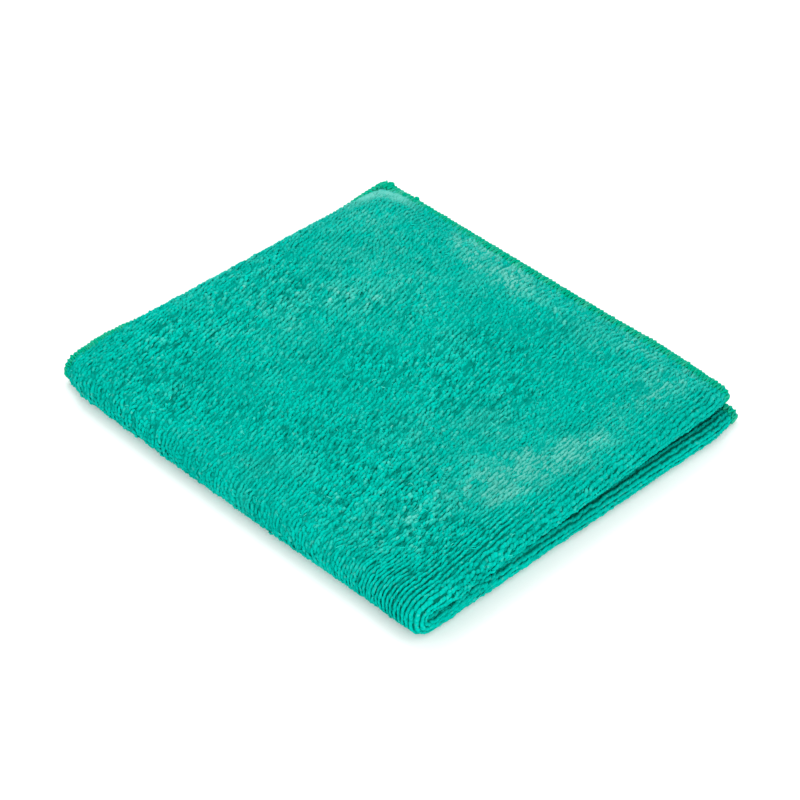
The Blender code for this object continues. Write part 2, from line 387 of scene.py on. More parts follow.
def of_layer(across, along, name):
    """A value of the table of layers, for points of the flat cloth."""
    bottom, second, third, top = (getattr(layer, name) for layer in LAYERS)
    upper = np.where(across < 0.0, top, third)
    lower = np.where(across < 0.0, bottom, second)
    return np.where(along > 0.0, upper, lower)


def stops_short(across, along, name):
    """How far the edge of the layer that a point is on stops short."""
    along_fold = np.abs(along if name == "left" else across)
    apart = of_layer(across, along, name) - SHORT_AT_FOLD
    return SHORT_AT_FOLD + apart * smooth(along_fold / SHORT_FADE)


def first_fold(across, along):
    """Returns x, the height off the folded pair's middle and the pair's half thickness."""
    from_ends = np.minimum(np.abs(along), CLOTH_LENGTH / 2 - np.abs(along))
    freed = smooth(from_ends / SIDE_ROLL_FREE)
    roll = SIDE_ROLL_PRESSED + (SIDE_ROLL - SIDE_ROLL_PRESSED) * freed
    quarter = math.pi / 2 * roll
    centre = CLOTH_WIDTH / 4 - THICKNESS / 2 - roll
    run = np.abs(across)
    turned = np.minimum(run / roll, math.pi / 2)
    beyond = np.maximum(run - quarter, 0.0)
    resting = (THICKNESS + LAYER_GAP) / 2
    spread = resting + (roll - resting) * near(beyond, SIDE_ROLL_FADE)
    reach = CLOTH_WIDTH / 4 + centre - stops_short(across, along, "left")
    x = centre + roll * np.cos(turned) - beyond * reach / (CLOTH_WIDTH / 2 - quarter)
    height = -np.sign(across) * spread * np.sin(turned)
    return x, height, spread + THICKNESS / 2


def second_fold(across, along, height, half_pair):
    """Returns y and z."""
    roll = half_pair + LAYER_GAP / 2 + FRONT_ROLL_EXTRA
    radius = roll + height
    quarter = math.pi / 2 * radius
    stack = THICKNESS * 2 + LAYER_GAP * 1.5 + FRONT_ROLL_EXTRA
    centre = stack - CLOTH_LENGTH / 4
    run = np.abs(along)
    turned = np.minimum(run / radius, math.pi / 2)
    beyond = np.maximum(run - quarter, 0.0)
    reach = CLOTH_LENGTH / 4 - centre - stops_short(across, along, "back")
    fade = FRONT_ROLL_EXTRA * smooth(beyond / FRONT_ROLL_FADE)
    y = centre - radius * np.cos(turned) + beyond * reach / (CLOTH_LENGTH / 2 - quarter)
    z = half_pair + roll - fade + np.sign(along) * (radius - fade) * np.sin(turned)
    return y, z


def bell(x, y, place):
    """1 in the middle of a ridge or patch, fading out past its reach."""
    turn = math.radians(place.turn_deg)
    right = (x - place.x) * math.cos(turn) + (y - place.y) * math.sin(turn)
    ahead = (y - place.y) * math.cos(turn) - (x - place.x) * math.sin(turn)
    return np.exp(-(right / place.reach_x) ** 2 - (ahead / place.reach_y) ** 2)


def settle(across, along, x, y, z):
    """Lets the stack sink where the layers are thin and rise over its ridges. The underside stays level."""
    left_free = smooth(np.abs(along) / SHORT_FADE)
    back_free = smooth(np.abs(across) / SHORT_FADE)
    sunk = z.copy()
    for place, layer in enumerate(LAYERS):
        from_left = x + CLOTH_WIDTH / 4 - SHORT_AT_FOLD - (layer.left - SHORT_AT_FOLD) * left_free
        from_back = CLOTH_LENGTH / 4 - y - SHORT_AT_FOLD - (layer.back - SHORT_AT_FOLD) * back_free
        share = hem_share(np.minimum(from_left, from_back))
        passed = np.clip((z - place * (THICKNESS + LAYER_GAP)) / THICKNESS, 0.0, 1.0)
        sunk -= (THICKNESS - HEM_THICKNESS) * share * passed
    stack = len(LAYERS) * THICKNESS
    ridges = sum(ridge.height * bell(x, y, ridge) for ridge in RIDGES)
    return sunk + np.maximum(z - THICKNESS / 2, 0.0) / stack * ridges


def curl(across, along, x, y, z):
    """Turns the top layer's edge at -X down."""
    inside, _ = inside_edges(across, along)
    at_corner = near(CLOTH_LENGTH / 4 - y, CURL_CORNER_REACH)
    turn = CURL_TURN + (CURL_TURN_CORNER - CURL_TURN) * at_corner
    turn = turn * smooth((along - CURL_START) / CURL_START_FADE) * (across < 0.0)
    past = np.maximum(CURL_REACH - inside, 0.0)
    angle = np.maximum(turn, 1e-4) * past / CURL_REACH
    radius = CURL_REACH / np.maximum(turn, 1e-4)
    return x + past - radius * np.sin(angle), z - radius * (1.0 - np.cos(angle))


def draw_in(across, along, x, y):
    """Rounds off the two corners where a fold ends in an overlocked edge, and sets the second fold askew."""
    inside_left, inside_back = inside_edges(across, along)
    front_end = near(inside_left, DRAWN_ALONG_EDGE) * near(np.abs(along), DRAWN_ROUND_FOLD)
    side_end = near(inside_back, DRAWN_ALONG_EDGE) * near(np.abs(across), DRAWN_ROUND_FOLD)
    off_square = (FRONT_SLANT + FRONT_BEND * x) * x * near(y + CLOTH_LENGTH / 4, CLOTH_LENGTH / 2)
    drawn = DRAWN_IN * front_end - np.where(along > 0.0, DRAWN_IN, DRAWN_IN_LOWER) * side_end
    return x + drawn, y + drawn + off_square


def lay_upper_pair(along, x, y, z):
    """Sets the upper pair askew on the lower one and lifts it at the far right corner."""
    rightward = x / (CLOTH_WIDTH / 2) + 0.5
    skew = UPPER_SKEW * rightward * smooth(along / UPPER_SKEW_FADE)
    away = smooth((y + CLOTH_LENGTH / 4) / (CLOTH_LENGTH / 2))
    right = near(CLOTH_WIDTH / 4 - x, CORNER_LIFT_REACH)
    lift = np.where(along > 0.0, CORNER_LIFT * away * right, 0.0)
    return x - skew * (y - UPPER_SKEW_Y), y, z + lift


def folded(across, along):
    """The place in the folded cloth of points of the flat one."""
    x, height, half_pair = first_fold(across, along)
    y, z = second_fold(across, along, height, half_pair)
    z = settle(across, along, x, y, z)
    x, z = curl(across, along, x, y, z)
    x, y = draw_in(across, along, x, y)
    x, y, z = lay_upper_pair(along, x, y, z)
    return np.stack([x - MIDDLE_X, y - MIDDLE_Y, z], axis=-1)


def outward(across, along):
    """Unit normals of the outer face."""
    step = 0.0002
    over = folded(across + step, along) - folded(across - step, along)
    ahead = folded(across, along + step) - folded(across, along - step)
    normal = np.cross(over, ahead)
    return normal / np.linalg.norm(normal, axis=-1, keepdims=True)


def on_cloth(across, along, off):
    """Places and outward normals of points at a height off the middle of the sheet."""
    normal = outward(across, along)
    return folded(across, along) + normal * off[..., None], normal


# ---------------------------------------------------------------- meshes


def soft_noise(across, along, cell, seed):
    """Smooth random values between -1 and 1 that change over about one cell."""
    lattice = np.random.default_rng(seed).uniform(-1.0, 1.0, (NOISE_CELLS, NOISE_CELLS))
    column = np.floor(across / cell)
    row = np.floor(along / cell)
    right = smooth(across / cell - column)
    ahead = smooth(along / cell - row)
    i = column.astype(int)
    j = row.astype(int)

    def at(i, j):
        return lattice[j % NOISE_CELLS, i % NOISE_CELLS]

    front = at(i, j) * (1.0 - right) + at(i + 1, j) * right
    back = at(i, j + 1) * (1.0 - right) + at(i + 1, j + 1) * right
    return front * (1.0 - ahead) + back * ahead


def unevenness(x, y, layers, start=0.0):
    """Layers of random unevenness, added to a start."""
    return sum((layer.share * soft_noise(x, y, layer.cell, layer.seed) for layer in layers), start)


def amount(places, patches):
    """How far patches reach at places on top of the folded cloth. 0 on its lower half."""
    x, y, z = places[..., 0], places[..., 1], places[..., 2]
    return sum(patch.depth * bell(x, y, patch) for patch in patches) * (z > THICKNESS * 2)


def pressed_flat(places):
    """How far the pile is pressed flat at places on the folded cloth, from 0 to 1."""
    uneven = unevenness(places[..., 0], places[..., 1], PRESSED_UNEVEN)
    return smooth((amount(places, PRESSED) * (1.0 + uneven) - PRESSED_FROM) / PRESSED_FADE)


def hazed(places):
    """How much painted sheen pales the pile at places on the folded cloth, from 0 to 1."""
    uneven = unevenness(places[..., 0], places[..., 1], HAZED_UNEVEN)
    return np.clip(amount(places, HAZED + PRESSED) * (HAZED_FIELD + uneven), 0.0, 1.0)


def parted(places):
    """How rough the pile is at places on the folded cloth, from 0 to 1."""
    rough = unevenness(places[..., 0], places[..., 1], PARTED_UNEVEN, PARTED_FIELD)
    return np.clip(rough + amount(places, PARTED) - amount(places, SMOOTHED), 0.0, 1.0)


def make_piece(name, points, faces, material, values, face_uvs):
    """A mesh object that rides on the cloth. values are floats for each point, face_uvs for each corner."""
    mesh = bpy.data.meshes.new(name)
    corners = faces.shape[1]
    mesh.vertices.add(len(points))
    mesh.loops.add(faces.size)
    mesh.polygons.add(len(faces))
    mesh.vertices.foreach_set("co", points.astype(np.float32).ravel())
    mesh.loops.foreach_set("vertex_index", faces.astype(np.int32).ravel())
    mesh.polygons.foreach_set("loop_start", np.arange(0, faces.size, corners, dtype=np.int32))
    mesh.update(calc_edges=True)
    for title, numbers in values.items():
        layer = mesh.attributes.new(title, "FLOAT", "POINT")
        layer.data.foreach_set("value", numbers.astype(np.float32).ravel())
    layer = mesh.uv_layers.new(name="OFBake")
    layer.data.foreach_set("uv", face_uvs.astype(np.float32).ravel())
    mesh.shade_smooth()
    mesh.materials.append(material)
    piece = bpy.data.objects.new(name, mesh)
    bpy.context.scene.collection.objects.link(piece)
    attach(piece, BODY)
    return piece


def cells(count):
    """Lower left corners and the size of square cells that share out the unit square."""
    side = math.ceil(math.sqrt(count))
    number = np.arange(count)
    return np.stack([number % side, number // side], axis=-1) / side, 1.0 / side


def tubes(paths, up, radius, sides, flatter=0.0):
    """Points, faces and corner UVs of one tube for each path. up points away from the cloth."""
    count, stations = paths.shape[:2]
    ahead = np.gradient(paths, axis=1)
    ahead /= np.linalg.norm(ahead, axis=-1, keepdims=True) + 1e-12
    aside = np.cross(ahead, up)
    aside /= np.linalg.norm(aside, axis=-1, keepdims=True) + 1e-12
    top = np.cross(aside, ahead)
    turn = np.arange(sides) * 2.0 * math.pi / sides + math.pi / 2
    wide = aside[:, :, None] * np.cos(turn)[:, None] * (1.0 + flatter)
    ring = wide + top[:, :, None] * np.sin(turn)[:, None] * (1.0 - flatter)
    points = paths[:, :, None] + ring * radius[:, :, None, None]
    tube, station, side = np.meshgrid(
        np.arange(count), np.arange(stations - 1), np.arange(sides), indexing="ij"
    )

    def point(step, turn):
        return (tube * stations + station + step) * sides + (side + turn) % sides

    faces = np.stack([point(0, 0), point(1, 0), point(1, 1), point(0, 1)], axis=-1)
    corner, size = cells(count)
    length = np.stack([station, station + 1, station + 1, station], axis=-1) / (stations - 1)
    girth = np.stack([side, side, side + 1, side + 1], axis=-1) / sides
    uvs = np.stack([length, girth], axis=-1) * 0.9 + 0.05
    uvs = corner[:, None, None, None] + uvs * size
    return points.reshape(-1, 3), faces.reshape(-1, 4), uvs.reshape(-1, 2)


def above_surface(points):
    """Squashes what would sink into the surface that the cloth lies on, but never quite flat."""
    low = np.minimum(points[:, 2] - REST_GAP - REST_SOFT, 0.0)
    points[:, 2] = np.where(low < 0.0, REST_GAP + REST_SOFT * np.exp(low / REST_SOFT), points[:, 2])
    return points


# ---------------------------------------------------------------- materials


def new_material(name, roughness, specular, sheen, sheen_roughness, sheen_tint):
    """A material with its node tree and its shader."""
    material = bpy.data.materials.new(name)
    material.use_nodes = True
    shader = material.node_tree.nodes["Principled BSDF"]
    shader.inputs["Roughness"].default_value = roughness
    shader.inputs["Specular IOR Level"].default_value = specular
    shader.inputs["Specular Tint"].default_value = (*sheen_tint, 1.0)
    shader.inputs["Sheen Weight"].default_value = sheen
    shader.inputs["Sheen Roughness"].default_value = sheen_roughness
    shader.inputs["Sheen Tint"].default_value = (*sheen_tint, 1.0)
    return material, material.node_tree, shader


def new_group(name, inputs, outputs):
    """A shader node group with named sockets: (name, kind, value)."""
    group = bpy.data.node_groups.new(name, "ShaderNodeTree")
    for title, kind, value in inputs:
        socket = group.interface.new_socket(title, in_out="INPUT", socket_type=kind)
        socket.default_value = value
    for title, kind in outputs:
        group.interface.new_socket(title, in_out="OUTPUT", socket_type=kind)
    start = group.nodes.new("NodeGroupInput")
    end = group.nodes.new("NodeGroupOutput")
    return group, start, end


def mix_colour(tree, share, low, high, blend="MIX"):
    """A Mix node between two colours. Each of share, low and high is a socket or a value."""
    mix = tree.nodes.new("ShaderNodeMix")
    mix.data_type = "RGBA"
    mix.blend_type = blend
    for socket, value in ((mix.inputs[0], share), (mix.inputs[6], low), (mix.inputs[7], high)):
        if hasattr(value, "is_output"):
            tree.links.new(value, socket)
        else:
            socket.default_value = value
    return mix.outputs[2]


def calculate(tree, operation, first, second=0.0, third=0.0, clamp=False):
    """Adds a node that calculates with numbers, and gives its result."""
    node = tree.nodes.new("ShaderNodeMath")
    node.operation = operation
    node.use_clamp = clamp
    for socket, value in zip(node.inputs, (first, second, third)):
        if hasattr(value, "is_output"):
            tree.links.new(value, socket)
        else:
            socket.default_value = value
    return node.outputs[0]


def noise(tree, place, scale, detail):
    """Adds smooth noise over the object, and gives how strong it is."""
    node = tree.nodes.new("ShaderNodeTexNoise")
    node.inputs["Scale"].default_value = scale
    node.inputs["Detail"].default_value = detail
    tree.links.new(place, node.inputs["Vector"])
    return node.outputs["Fac"]


def attribute(tree, name):
    """Adds a node that reads a value of the mesh, and gives that value."""
    node = tree.nodes.new("ShaderNodeAttribute")
    node.attribute_name = name
    return node.outputs["Fac"]


def yarn_shade_group():
    """The colour of the yarn: painted shade towards the root, painted sheen where pressed flat, each loop a
    little its own.
    """
    group, start, end = new_group(
        "yarn_shade",
        [
            ("Body", "NodeSocketColor", (0.0, 0.42, 0.33, 1.0)),
            ("Root", "NodeSocketColor", (0.0, 0.2, 0.16, 1.0)),
            ("Pale", "NodeSocketColor", (0.2, 0.65, 0.55, 1.0)),
            ("Raised", "NodeSocketFloat", 1.0),
            ("Flat_pile_sheen", "NodeSocketFloat", 0.0),
            ("Tint", "NodeSocketFloat", 0.0),
        ],
        [("Colour", "NodeSocketColor")],
    )
    place = group.nodes.new("ShaderNodeTexCoord").outputs["Object"]
    clouds = noise(group, place, 45.0, 3.0)
    flecks = noise(group, place, 600.0, 1.0)
    # Painted shade: this share mixes from the root colour, full painted shade, at 0 to the body colour at 1
    raised = calculate(group, "POWER", start.outputs["Raised"], 0.8, clamp=True)
    colour = mix_colour(group, raised, start.outputs["Root"], start.outputs["Body"])
    cloud_share = calculate(group, "MULTIPLY_ADD", clouds, 2.0, -1.20, clamp=True)
    fleck_share = calculate(group, "MULTIPLY_ADD", flecks, 4.0, -2.50, clamp=True)
    # Painted sheen: pile that is pressed flat is mixed towards the pale colour
    pressed = calculate(group, "MULTIPLY", start.outputs["Flat_pile_sheen"], 0.38)
    pale_share = calculate(group, "ADD", pressed, calculate(group, "MULTIPLY", cloud_share, 0.15))
    pale_share = calculate(group, "ADD", pale_share, calculate(group, "MULTIPLY", fleck_share, 0.35))
    # The tint, painted sheen and highlights besides random paleness, shows towards the crests, and no pale
    # shows in painted shade
    crest = calculate(group, "POWER", start.outputs["Raised"], 3.0, clamp=True)
    tint = calculate(group, "MULTIPLY", start.outputs["Tint"], crest)
    pale_share = calculate(group, "ADD", pale_share, tint, clamp=True)
    pale_share = calculate(group, "MULTIPLY", pale_share, raised)
    colour = mix_colour(group, pale_share, colour, start.outputs["Pale"])
    group.links.new(colour, end.inputs["Colour"])
    return group


def filament_group():
    """The fine relief of split filaments in a yarn."""
    group, start, end = new_group(
        "filaments", [("Scale", "NodeSocketFloat", 1.0)], [("Height", "NodeSocketFloat")]
    )
    place = group.nodes.new("ShaderNodeTexCoord").outputs["Object"]
    sized = group.nodes.new("ShaderNodeVectorMath")
    sized.operation = "SCALE"
    group.links.new(place, sized.inputs[0])
    group.links.new(start.outputs["Scale"], sized.inputs["Scale"])
    strands = noise(group, sized.outputs[0], 3200.0, 4.0)
    group.links.new(strands, end.inputs["Height"])
    return group


def add_filaments(tree, shader, group):
    """Lets the relief of the filaments feed the shader's Normal."""
    relief = tree.nodes.new("ShaderNodeGroup")
    relief.node_tree = group
    bump = tree.nodes.new("ShaderNodeBump")
    bump.inputs["Strength"].default_value = FILAMENT_STRENGTH
    bump.inputs["Distance"].default_value = FILAMENT_DEPTH
    tree.links.new(relief.outputs["Height"], bump.inputs["Height"])
    tree.links.new(bump.outputs["Normal"], shader.inputs["Normal"])


def yarn_material(name, groups, yarn):
    """Matt yarn in its own colours, with the painted shade, painted sheen and tint that each place carries.
    """
    material, tree, shader = new_material(
        name, YARN_ROUGHNESS, 0.0, YARN_SHEEN, YARN_SHEEN_ROUGHNESS, YARN_SHEEN_TINT
    )
    shade = tree.nodes.new("ShaderNodeGroup")
    shade.node_tree = groups["yarn_shade"]
    for title, colour in (("Body", yarn.body), ("Root", yarn.root), ("Pale", yarn.pale)):
        shade.inputs[title].default_value = (*colour, 1.0)
    for title in ("Raised", "Flat_pile_sheen", "Tint"):
        tree.links.new(attribute(tree, title.lower()), shade.inputs[title])
    tree.links.new(shade.outputs["Colour"], shader.inputs["Base Color"])
    add_filaments(tree, shader, groups["filaments"])
    return material


def floor_material():
    """Matt white that glows a little, so that shadows stay pale."""
    material, _, shader = new_material("white_floor", 0.9, 0.0, 0.0, 0.5, (1.0, 1.0, 1.0))
    shader.inputs["Base Color"].default_value = (FLOOR_WHITE, FLOOR_WHITE, FLOOR_WHITE, 1.0)
    shader.inputs["Emission Color"].default_value = (1.0, 1.0, 1.0, 1.0)
    shader.inputs["Emission Strength"].default_value = FLOOR_GLOW
    return material


def make_materials():
    """Every material of the scene, by the name of what wears it."""
    groups = {"yarn_shade": yarn_shade_group(), "filaments": filament_group()}
    return {
        "pile": yarn_material("looped_pile", groups, PILE_YARN),
        "ground": yarn_material("knitted_ground", groups, GROUND_YARN),
        "overlock": yarn_material("overlock_thread", groups, OVERLOCK_YARN),
        "floor": floor_material(),
    }


# ---------------------------------------------------------------- the ground


def rows(size, bands):
    """Grid lines from edge to edge of the flat cloth."""
    spare = size / 2 - sum(band.reach for band in bands if band.reach)
    lines = []
    start = -size / 2
    for band in bands:
        end = start + (band.reach or spare)
        lines.extend(np.linspace(start, end, band.rows, endpoint=False))
        start = end
    half = np.array(lines)
    return np.concatenate([half, [0.0], -half[::-1]])


def ground_half(across, along):
    """Half the thickness of the ground."""
    hem = hem_share(np.minimum(*inside_edges(across, along)))
    return (GROUND_THICKNESS + (HEM_GROUND_THICKNESS - GROUND_THICKNESS) * hem) / 2


def matted(across, along):
    """How full of felted fibres the gaps of the outer pile are, from 0 to 1."""
    neat = neatness(across, along)
    dense = smooth(MAT_DENSEST - parted(folded(across, along))) * (1.0 - (1.0 - MAT_ON_NEAT) * neat)
    dense = dense * (1.0 - near(np.abs(across), MAT_OPENED_REACH))
    return dense * smooth(pile_ends(across, along) / MAT_FADE)


def ground_uvs(across, along, start):
    """Corner UVs of one face of the ground, from a start in the unit square."""
    return np.stack([start + (across / CLOTH_WIDTH + 0.5) * FACE_SHARE, along / CLOTH_LENGTH + 0.5], axis=-1)


def make_ground(material):
    """The knitted sheet, closed: an outer face, an inner face and the cut edge between them."""
    across_rows = rows(CLOTH_WIDTH, GROUND_ACROSS)
    along_rows = rows(CLOTH_LENGTH, GROUND_ALONG)
    across, along = np.meshgrid(across_rows, along_rows, indexing="ij")
    half = ground_half(across, along)
    mat = matted(across, along)
    rim = at_rim(across, along, pile_ends(across, along))
    outer, _ = on_cloth(across, along, half + np.maximum(MAT_HEIGHT * mat, RIM_THICKNESS / 2 * rim))
    inner, _ = on_cloth(across, along, -half)
    columns, depth = across.shape
    number = np.arange(columns * depth).reshape(columns, depth)
    a, b, c, d = number[:-1, :-1], number[1:, :-1], number[1:, 1:], number[:-1, 1:]
    outer_faces = np.stack([a, b, c, d], axis=-1).reshape(-1, 4)
    inner_faces = outer_faces[:, ::-1]
    edge = np.concatenate([number[:, 0], number[-1, 1:], number[-2::-1, -1], number[0, -2:0:-1]])
    onward = np.roll(edge, -1)
    edge_faces = np.stack([edge, edge + number.size, onward + number.size, onward], axis=-1)
    faces = np.concatenate([outer_faces, inner_faces + number.size, edge_faces])
    points = np.concatenate([outer.reshape(-1, 3), inner.reshape(-1, 3)])
    across_flat, along_flat = across.ravel(), along.ravel()
    outer_uvs = ground_uvs(across_flat[outer_faces], along_flat[outer_faces], 0.0)
    inner_uvs = ground_uvs(across_flat[inner_faces], along_flat[inner_faces], INNER_FACE_START)
    share = np.arange(len(edge)) / len(edge)
    step = share + 1.0 / len(edge)
    outside, inside = CUT_EDGE_STRIP
    corners = ((outside, share), (inside, share), (inside, step), (outside, step))
    edge_uvs = np.stack([np.stack([0.0 * run + side, run], axis=-1) for side, run in corners], axis=1)
    uvs = np.concatenate([outer_uvs, inner_uvs, edge_uvs]).reshape(-1, 2)
    hem = hem_share(np.minimum(*inside_edges(across, along)))
    # Painted shade on the ground: the root colour where no mat fills the gaps, lighter under the mat, full
    # body on the rim and in the hem, and darker on the inner face
    outer_shade = np.maximum(np.maximum(MAT_SHADE * mat, rim), hem)
    inner_shade = INNER_SHADE + (1.0 - INNER_SHADE) * hem
    rim, none = rim.ravel(), np.zeros(rim.size)
    values = {
        "raised": np.concatenate([outer_shade.ravel(), inner_shade.ravel()]),
        # The rim's paleness is a painted highlight along the bend round the bare corner
        "flat_pile_sheen": np.concatenate([rim, none]),
        "tint": np.concatenate([RIM_HIGHLIGHT_TINT * rim, none]),
    }
    return make_piece("ground", points, faces, material, values, uvs)


# ---------------------------------------------------------------- the pile


def neatness(across, along):
    """How neat the ribs are at points of the flat cloth: 1 all in line, 0 tangled."""
    at_front, at_back = NEAT_SIDE_REACH
    backward = smooth(along / NEAT_SIDE_FADE)
    reach = at_front + (at_back - at_front) * backward
    side = NEAT_AT_SIDE_FOLD * (1.0 - NEAT_LESS_AT_BACK * backward) * near(np.abs(across), reach)
    opened = OPENED_ON_FOLD * near(np.abs(across), OPENED_REACH) * near(np.abs(along), OPENED_END)
    side = side * (1.0 - opened)
    front = NEAT_AT_FRONT * near(np.abs(along), NEAT_FRONT_REACH) * near(np.abs(across), NEAT_FRONT_FADE)
    field = NEAT_FIELD + NEAT_UNEVEN * soft_noise(across, along, NEAT_CELL, 3)
    return np.clip(np.maximum(np.maximum(side, front), field), 0.0, 1.0)


def rib_lean(across):
    """How far a rib runs to the left for each metre along."""
    return RIB_LEAN + (RIB_LEAN_LEFT - RIB_LEAN) * smooth(-across / RIB_LEAN_FADE)


def rib_spread(across):
    """How much further apart the ribs are than in the band beside the side fold."""
    return 1.0 + SPREAD_IN_FIELD * np.tanh(across / SPREAD_FIELD_REACH) ** 2


def loop_grid(across_span, along_span, pitch, aside=0.0):
    """Loop places in ribs over a part of the flat cloth: across, along and the slant of the rib."""
    ribs = np.arange(across_span[0] - LEAN_MARGIN, across_span[1] + LEAN_MARGIN, RIB_PITCH) + aside
    places = np.arange(along_span[0] + pitch / 4, along_span[1], pitch)
    ribs = ribs + SPREAD_IN_FIELD * (ribs - SPREAD_FIELD_REACH * np.tanh(ribs / SPREAD_FIELD_REACH))
    rib, along = np.meshgrid(ribs, places, indexing="ij")
    lean = rib_lean(rib)
    across = rib - lean * (np.maximum(along, RIB_LEAN_STOP) - CLOTH_LENGTH / 4)
    spread = SPREAD_AT_FOLD * SPREAD_REACH * np.tanh(across / SPREAD_REACH)
    across = across + spread - CLOSER_ON_FOLD * CLOSER_REACH * np.tanh(across / CLOSER_REACH)
    stagger = np.arange(len(ribs))[:, None] % 2 * pitch / 2
    slant = -np.arctan(lean) * (along > RIB_LEAN_STOP)
    kept = (across > across_span[0]) & (across < across_span[1])
    return across[kept], (along + stagger)[kept], slant[kept]


def pile_ends(across, along):
    """How far inside the end of the outer pile points of the flat cloth are. Below 0 there is none."""
    left, back = inside_edges(across, along)
    corner = (left * back - CORNER_BARE) / np.hypot(left, back)
    near_corner, away = PILE_FROM_BACK
    start, fade = PILE_BACK_FADE
    from_back = back - near_corner - (away - near_corner) * smooth((left - start) / fade)
    near_fold, away = PILE_FROM_LEFT
    start, fade = PILE_LEFT_FADE
    from_left = left - near_fold - (away - near_fold) * smooth((along - start) / fade)
    upper = np.minimum(np.minimum(corner, from_left), np.where(along > 0.0, from_back, 1.0))
    lower = np.minimum(left, back) - HEM_WIDTH
    return np.where(along > -UNDER_FROM_FRONT, upper, lower)


def at_rim(across, along, ends):
    """1 in the flat rim of pile round the bare corner of the top layer, 0 elsewhere."""
    left, back = inside_edges(across, along)
    beside = near(np.maximum(left, back) - RIM_REACH / 2, RIM_REACH / 2)
    uneven = unevenness(across, along, RIM_UNEVEN, 1.0)
    return np.clip(near(np.abs(ends - RIM_WIDTH / 2), RIM_WIDTH) * beside * uneven, 0.0, 1.0) * (along > 0.0)


def along_rib(across, along):
    """How far aside the rib under a point of the flat cloth started."""
    return across + rib_lean(across) * (along - CLOTH_LENGTH / 4)


def spotted(across, along, spots):
    """How strong scattered spots are at points of the flat cloth, 0 between them."""
    chance = np.random.default_rng(spots.seed)
    jitter_across, jitter_along, strength = chance.random((3, NOISE_CELLS, NOISE_CELLS))
    strength = 1.2 * strength ** 1.5
    on_rib = along_rib(across, along) / spots.cell
    ahead = along / spots.cell
    deepest = np.zeros(np.shape(across))
    for i_step in (-1, 0, 1):
        for j_step in (-1, 0, 1):
            i = np.floor(on_rib).astype(int) + i_step
            j = np.floor(ahead).astype(int) + j_step
            cell = (j % NOISE_CELLS, i % NOISE_CELLS)
            beside = (on_rib - i - jitter_across[cell]) * spots.cell / spots.wide
            beyond = (ahead - j - jitter_along[cell]) * spots.cell / spots.long
            deepest = np.maximum(deepest, strength[cell] * np.exp(-beside ** 2 - beyond ** 2))
    return deepest


def pits(across, along):
    """1 where tangled pile parts down to the ground, 0 elsewhere."""
    return np.clip(spotted(across, along, PITS), 0.0, 1.0)


def clumps(across, along):
    """Where tangled loops stand up, to 1, and where they sink, to -1."""
    return soft_noise(along_rib(across, along) * CLUMP_SLIMMER, along, CLUMP_CELL, 44)


def loop_places(across_span, along_span, pitch, loop, chance):
    """across, along, slant and the way in from the end of the pile, for each loop of one kind."""
    aside = RIB_PITCH / 2 if loop is LOW_LOOP else 0.0
    across, along, slant = loop_grid(across_span, along_span, pitch, aside)
    if loop is LOW_LOOP:
        neat = neatness(across, along)
        rough = parted(folded(across, along))
        wanted = np.maximum(LOW_SHARE * (1.0 - neat), LOW_SHARE_NEAT * (1.5 - rough))
        open_pit = pits(across, along) * smooth(rough / PIT_ROUGH) >= PIT_OPEN
        kept = (chance.random(len(across)) < wanted) & ~open_pit
        across, along, slant = across[kept], along[kept], slant[kept]
    ends = pile_ends(across, along)
    return tuple(numbers[ends > 0.0] for numbers in (across, along, slant, ends))


State = namedtuple("State", "neat tangled rough rim pressed clump haze bigger")


def pile_state(across, along, ends):
    """What the pile is like at loops. bigger is above 1 where the ribs are further apart."""
    places = folded(across, along)
    neat = neatness(across, along)
    rough = parted(places)
    rim = at_rim(across, along, ends)
    return State(
        neat=neat,
        tangled=1.0 - neat,
        rough=rough,
        rim=rim,
        pressed=np.maximum(pressed_flat(places), rim),
        clump=clumps(across, along) * (CLUMP_DENSE + CLUMP_ROUGH * rough),
        haze=hazed(places),
        bigger=rib_spread(across),
    )


def loop_spans(along, slant, pitch, loop, state, scatter):
    """How far each loop reaches to both sides of its middle, and its slant off the ribs."""
    rolled = near(np.abs(along), ROLL_REACH) * state.tangled
    slant = slant - math.radians(loop.slant_deg) * (1.0 - NEAT_STRAIGHTER * state.neat)
    twisted = VARY_SLANT_TANGLED * state.tangled + ROLL_SLANT * rolled
    slant = slant + scatter(VARY_SLANT) + twisted * scatter(1.0)
    span = loop.span * (pitch / LOOP_PITCH) ** COARSER_SPAN * (1.0 + scatter(VARY_SPAN))
    span = span * (1.0 + NEAT_LONGER - TANGLED_SHORTER * state.tangled)
    return span * np.sqrt(state.bigger) * (1.0 - ROLL_SHORTER * rolled), slant


def loop_heights(across, along, ends, loop, state, scatter, chance):
    """How high each loop stands off its foot."""
    wavy = WAVY * soft_noise(across, along, WAVY_CELL, 43) + CLUMP_UNEVEN * state.clump
    stray = STRAY_HEIGHT * (chance.random(len(across)) < STRAY_SHARE)
    uneven = 1.0 + scatter(VARY_HEIGHT) + state.tangled * (wavy + scatter(VARY_HEIGHT_TANGLED) + stray)
    rising = END_HEIGHT + (1.0 - END_HEIGHT) * smooth(ends / END_FADE)
    height = loop.height * np.clip(uneven, *HEIGHT_LIMITS) * rising * np.sqrt(state.bigger)
    if loop is LOW_LOOP:
        height = height * (1.0 - LOW_LOWER_NEAT * state.neat * (0.4 + 0.6 * state.rough))
    return height * (1.0 - (1.0 - PRESSED_HEIGHT) * state.pressed)


def loop_thickness(across, loop, state, scatter):
    """The radius of each loop's yarn at its crest."""
    on_fold = near(np.abs(across), WIDER_REACH)
    wider = TANGLED_WIDER * state.tangled - NEAT_SLIMMER * state.neat
    wider = wider + WIDER_ON_FOLD * on_fold + PRESSED_WIDER * state.pressed
    share = np.clip(1.0 + scatter(VARY_THICKNESS) + wider, *THICKNESS_LIMITS)
    return loop.radius * state.bigger ** 0.8 * share


